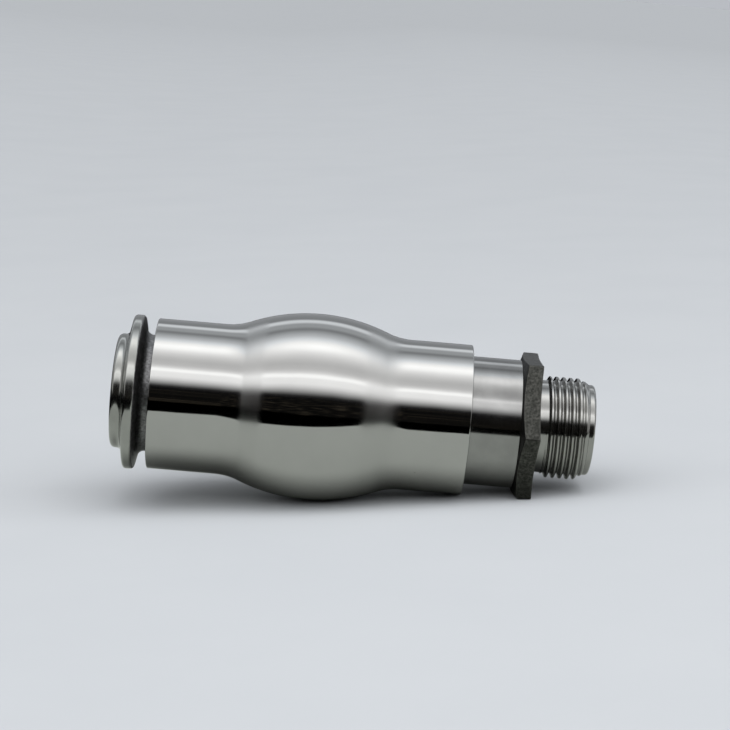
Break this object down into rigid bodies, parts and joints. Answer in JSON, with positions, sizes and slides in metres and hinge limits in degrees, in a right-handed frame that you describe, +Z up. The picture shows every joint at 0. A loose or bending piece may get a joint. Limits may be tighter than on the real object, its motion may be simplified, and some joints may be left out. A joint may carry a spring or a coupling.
{
  "type": "sight glass",
  "caption": "In-line tubular sight glass with a clamp ferrule, a bulged polished guard sleeve that slides against a spring, and a hexagon adapter with a parallel pipe thread.",
  "frame": {"origin": "centre of the nose face of the clamp ferrule, on the flow axis", "axes": "+X along the flow axis towards the threaded outlet, +Z up with two flats of the hexagon facing up and down"},
  "size_m": [0.1564, 0.061, 0.061],
  "materials": {
    "cast_steel": "shot-blasted investment casting, grainy, with turned nose and rim",
    "polished_steel": "polished stainless steel with faint lines around the axis",
    "turned_steel": "satin turned stainless steel, cast hexagon",
    "plain_steel": "plain turned stainless steel",
    "spring_steel": "bright drawn spring wire and dark clips",
    "borosilicate": "clear, fire-polished ends",
    "ptfe": "white, waxy",
    "filled_ptfe": "bronze-filled, waxy",
    "elastomer": "matt black"
  },
  "bodies": {
    "fitting": {"ferrule_barrel": "cast_steel", "glass_tube": "borosilicate", "glass_gasket_left": "ptfe", "glass_gasket_right": "ptfe", "glass_cushion_left": "ptfe", "glass_cushion_right": "ptfe", "liner_tube": "plain_steel", "liner_gasket": "ptfe", "barrel_o_ring": "elastomer", "stop_ring": "spring_steel", "spring_washer": "plain_steel", "adapter": "turned_steel", "lock_screws": "spring_steel"},
    "carriage": {"guide_ring": "plain_steel", "wear_strip": "filled_ptfe", "return_spring": "spring_steel"},
    "guard": {"guard_sleeve": "polished_steel", "guide_circlip": "spring_steel", "guide_bush": "filled_ptfe", "bush_circlip": "spring_steel", "wiper_ring": "elastomer"}
  },
  "joints": [
    {"name": "guard_slide", "type": "slide", "parent": "fitting", "child": "carriage", "axis": [1, 0, 0], "range_m": [0, 0.0155], "stiffness_N_per_m": 400, "springref_m": -0.03, "deforming": ["return_spring"]},
    {"name": "guard_turn", "type": "hinge", "parent": "carriage", "child": "guard", "pos_m": [0.03625, 0, 0], "axis": [1, 0, 0], "continuous": true}
  ]
}
